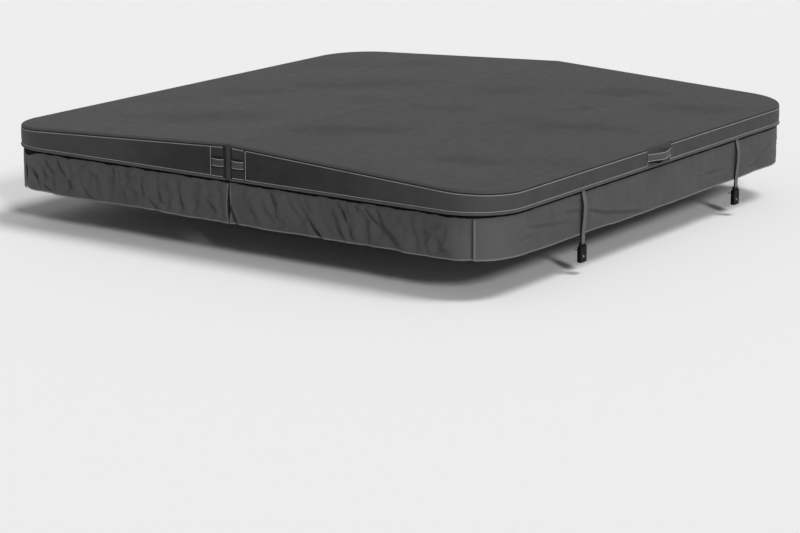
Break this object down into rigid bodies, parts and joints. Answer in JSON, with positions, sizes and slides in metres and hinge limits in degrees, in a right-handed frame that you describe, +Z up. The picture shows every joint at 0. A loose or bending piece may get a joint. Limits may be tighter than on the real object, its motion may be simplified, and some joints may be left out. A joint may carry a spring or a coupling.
{
  "type": "spa cover",
  "caption": "Square folding hard cover for a hot tub: tapered foam panels in charcoal vinyl with a skirt, lift handles and tie-down straps with locking clips.",
  "frame": {"origin": "centre of the flat underside, on the plane that rests on the spa's rim", "axes": "+Z up; +Y along the fold, towards the back; +X across the fold, towards the half that is folded over"},
  "size_m": [2.186, 2.156, 0.375],
  "materials": {
    "charcoal_vinyl": "embossed marine vinyl, satin",
    "underside_vinyl": "smooth vinyl, satin",
    "eps_foam": "expanded polystyrene beads",
    "barrier_film": "polyethylene film",
    "galvanised_steel": "hot-dip galvanised, rolled",
    "zip_coil": "nylon coil on woven tape",
    "zip_metal": "black enamelled zinc",
    "eyelet_plastic": "moulded",
    "strap_webbing": "woven polypropylene webbing",
    "clip_plastic": "moulded acetal, fine texture",
    "lock_zinc": "zinc casting, satin",
    "stainless_steel": "stainless, passivated"
  },
  "bodies": {
    "left_half": {"foam_core_left": "eps_foam", "steel_channel_left": "galvanised_steel", "vapour_barrier_left": "barrier_film", "top_panel_left": "charcoal_vinyl", "side_band_left": "charcoal_vinyl", "bottom_panel_left": "underside_vinyl", "hinge_wall_left": "underside_vinyl", "hinge_leaf_left": "charcoal_vinyl", "welt_left": "charcoal_vinyl", "skirt_front_left": "charcoal_vinyl", "skirt_side_left": "charcoal_vinyl", "skirt_back_left": "charcoal_vinyl", "zipper_left": "zip_coil", "side_handle_left": "charcoal_vinyl", "hinge_handle_front_left": "charcoal_vinyl", "hinge_handle_back_left": "charcoal_vinyl", "drain_eyelets_left": "eyelet_plastic", "heat_seal_pad": "charcoal_vinyl"},
    "right_half": {"foam_core_right": "eps_foam", "steel_channel_right": "galvanised_steel", "vapour_barrier_right": "barrier_film", "top_panel_right": "charcoal_vinyl", "side_band_right": "charcoal_vinyl", "bottom_panel_right": "underside_vinyl", "hinge_wall_right": "underside_vinyl", "hinge_leaf_right": "charcoal_vinyl", "welt_right": "charcoal_vinyl", "skirt_front_right": "charcoal_vinyl", "skirt_side_right": "charcoal_vinyl", "skirt_back_right": "charcoal_vinyl", "zipper_right": "zip_coil", "side_handle_right": "charcoal_vinyl", "hinge_handle_front_right": "charcoal_vinyl", "hinge_handle_back_right": "charcoal_vinyl", "drain_eyelets_right": "eyelet_plastic"},
    "zip_slider_left": {"zip_slider_left": "zip_metal"},
    "zip_pull_left": {"zip_pull_left": "zip_metal"},
    "strap_front_left": {"webbing_front_left": "strap_webbing", "male_clip_front_left": "clip_plastic"},
    "receiver_front_left": {"receiver_front_left": "clip_plastic", "screws_front_left": "stainless_steel"},
    "lock_front_left": {"lock_front_left": "lock_zinc"},
    "strap_back_left": {"webbing_back_left": "strap_webbing", "male_clip_back_left": "clip_plastic"},
    "receiver_back_left": {"receiver_back_left": "clip_plastic", "screws_back_left": "stainless_steel"},
    "lock_back_left": {"lock_back_left": "lock_zinc"},
    "zip_slider_right": {"zip_slider_right": "zip_metal"},
    "zip_pull_right": {"zip_pull_right": "zip_metal"},
    "strap_front_right": {"webbing_front_right": "strap_webbing", "male_clip_front_right": "clip_plastic"},
    "receiver_front_right": {"receiver_front_right": "clip_plastic", "screws_front_right": "stainless_steel"},
    "lock_front_right": {"lock_front_right": "lock_zinc"},
    "strap_back_right": {"webbing_back_right": "strap_webbing", "male_clip_back_right": "clip_plastic"},
    "receiver_back_right": {"receiver_back_right": "clip_plastic", "screws_back_right": "stainless_steel"},
    "lock_back_right": {"lock_back_right": "lock_zinc"}
  },
  "joints": [
    {"name": "fold_hinge", "type": "hinge", "parent": "left_half", "child": "right_half", "pos_m": [0, 0, 0.129], "axis": [0, -1, 0], "range_deg": [0, 184]},
    {"name": "zip_run_left", "type": "slide", "parent": "left_half", "child": "zip_slider_left", "axis": [0, 1, 0], "range_m": [0, 1.76]},
    {"name": "zip_pull_swing_left", "type": "hinge", "parent": "zip_slider_left", "child": "zip_pull_left", "pos_m": [-0.056, -0.88, -0.0081], "axis": [1, 0, 0], "range_deg": [-80, 80]},
    {"name": "strap_swing_front_left", "type": "hinge", "parent": "left_half", "child": "strap_front_left", "pos_m": [-1.0632, -0.503, -0.0012], "axis": [0, 1, 0], "range_deg": [0, 85]},
    {"name": "clip_release_front_left", "type": "slide", "parent": "strap_front_left", "child": "receiver_front_left", "axis": [0, 0, -1], "range_m": [0, 0.04]},
    {"name": "lock_turn_front_left", "type": "hinge", "parent": "receiver_front_left", "child": "lock_front_left", "pos_m": [-1.0632, -0.503, -0.226], "axis": [-1, 0, 0], "range_deg": [0, 90]},
    {"name": "strap_swing_back_left", "type": "hinge", "parent": "left_half", "child": "strap_back_left", "pos_m": [-1.0632, 0.591, -0.0012], "axis": [0, 1, 0], "range_deg": [0, 85]},
    {"name": "clip_release_back_left", "type": "slide", "parent": "strap_back_left", "child": "receiver_back_left", "axis": [0, 0, -1], "range_m": [0, 0.04]},
    {"name": "lock_turn_back_left", "type": "hinge", "parent": "receiver_back_left", "child": "lock_back_left", "pos_m": [-1.0632, 0.591, -0.226], "axis": [-1, 0, 0], "range_deg": [0, 90]},
    {"name": "zip_run_right", "type": "slide", "parent": "right_half", "child": "zip_slider_right", "axis": [0, 1, 0], "range_m": [0, 1.76]},
    {"name": "zip_pull_swing_right", "type": "hinge", "parent": "zip_slider_right", "child": "zip_pull_right", "pos_m": [0.056, -0.88, -0.0081], "axis": [1, 0, 0], "range_deg": [-80, 80]},
    {"name": "strap_swing_front_right", "type": "hinge", "parent": "right_half", "child": "strap_front_right", "pos_m": [1.0632, -0.503, -0.0012], "axis": [0, -1, 0], "range_deg": [0, 85]},
    {"name": "clip_release_front_right", "type": "slide", "parent": "strap_front_right", "child": "receiver_front_right", "axis": [0, 0, -1], "range_m": [0, 0.04]},
    {"name": "lock_turn_front_right", "type": "hinge", "parent": "receiver_front_right", "child": "lock_front_right", "pos_m": [1.0632, -0.503, -0.226], "axis": [1, 0, 0], "range_deg": [0, 90]},
    {"name": "strap_swing_back_right", "type": "hinge", "parent": "right_half", "child": "strap_back_right", "pos_m": [1.0632, 0.591, -0.0012], "axis": [0, -1, 0], "range_deg": [0, 85]},
    {"name": "clip_release_back_right", "type": "slide", "parent": "strap_back_right", "child": "receiver_back_right", "axis": [0, 0, -1], "range_m": [0, 0.04]},
    {"name": "lock_turn_back_right", "type": "hinge", "parent": "receiver_back_right", "child": "lock_back_right", "pos_m": [1.0632, 0.591, -0.226], "axis": [1, 0, 0], "range_deg": [0, 90]}
  ]
}
